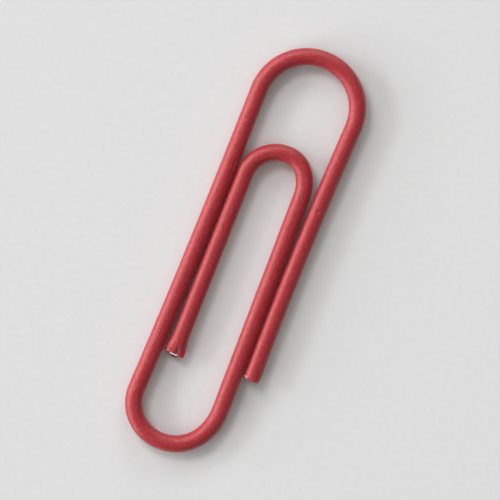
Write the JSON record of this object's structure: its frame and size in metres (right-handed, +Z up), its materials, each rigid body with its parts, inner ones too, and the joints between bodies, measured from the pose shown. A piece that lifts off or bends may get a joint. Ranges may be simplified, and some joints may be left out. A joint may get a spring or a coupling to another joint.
{
  "type": "wire paper clip",
  "caption": "Gem-shaped paper clip of plastic-coated steel wire: an outer loop and an inner tongue that flex apart at the bends to grip paper.",
  "frame": {"origin": "on the surface that the clip lies on, under the middle of its outline", "axes": "+X across the clip, from the long leg to the outer leg's free end; +Y along the clip, towards the large bend; +Z up, out of the flat of the clip"},
  "size_m": [0.0092, 0.033, 0.0013],
  "materials": {
    "coating": "satin, fine orange-peel grain",
    "steel": "bright drawn wire"
  },
  "bodies": {
    "long_leg": {"long_leg_coating": "coating", "long_leg_core": "steel"},
    "outer_leg": {"outer_leg_coating": "coating", "outer_leg_core": "steel"},
    "tongue": {"tongue_coating": "coating", "tongue_core": "steel"},
    "tip_leg": {"tip_leg_coating": "coating", "tip_leg_core": "steel"}
  },
  "joints": [
    {"name": "top_bend", "type": "hinge", "parent": "long_leg", "child": "outer_leg", "pos_m": [0.0001, 0.01585, 0.00065], "axis": [1, 0, 0], "range_deg": [-8, 8], "stiffness_Nm_per_rad": 0.3},
    {"name": "bottom_bend", "type": "hinge", "parent": "long_leg", "child": "tongue", "pos_m": [-0.00084, -0.01585, 0.00065], "axis": [1, 0, 0], "range_deg": [-10, 10], "stiffness_Nm_per_rad": 0.3},
    {"name": "inner_bend", "type": "hinge", "parent": "tongue", "child": "tip_leg", "pos_m": [0.00012, 0.00808, 0.00065], "axis": [1, 0, 0], "range_deg": [-8, 8], "stiffness_Nm_per_rad": 0.3}
  ]
}
